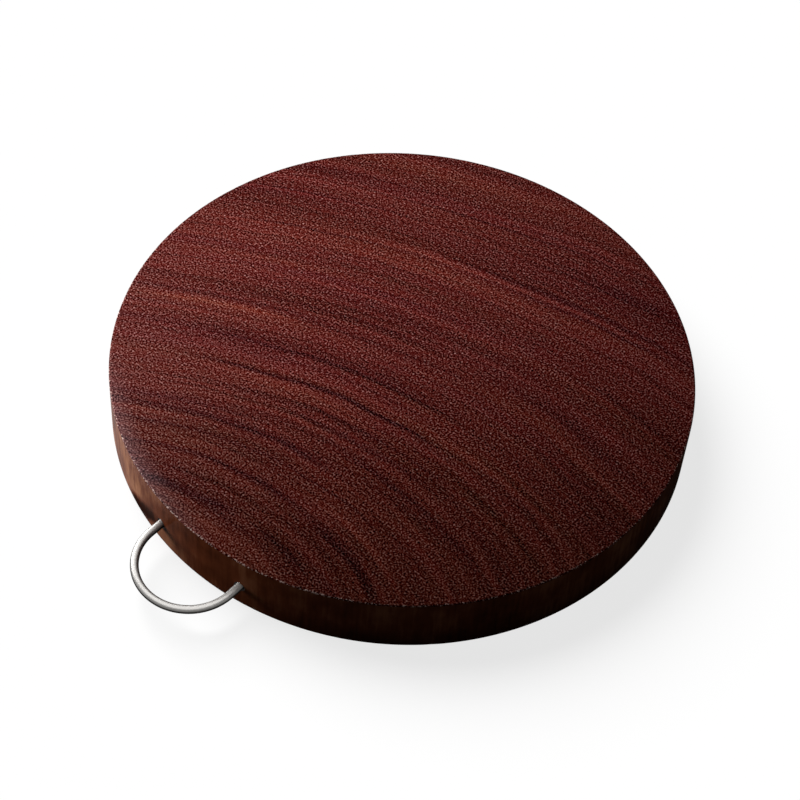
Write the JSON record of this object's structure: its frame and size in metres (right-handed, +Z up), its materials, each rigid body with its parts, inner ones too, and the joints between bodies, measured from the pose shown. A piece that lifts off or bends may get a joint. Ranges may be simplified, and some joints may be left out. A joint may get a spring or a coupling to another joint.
{
  "type": "round chopping block",
  "caption": "Thick round end-grain hardwood chopping block with eased edges and a fixed bent-wire loop handle set into its rim for carrying and hanging.",
  "frame": {"origin": "centre of the underside that the block stands on", "axes": "+Z up, square to the working face; the handle points along -Y"},
  "size_m": [0.35, 0.3889, 0.04],
  "materials": {
    "ironwood": "oiled end grain, satin face and glossy rim",
    "stainless_wire": "satin drawn wire"
  },
  "bodies": {
    "root": {"wood_block": "ironwood", "wire_handle": "stainless_wire"}
  },
  "joints": []
}
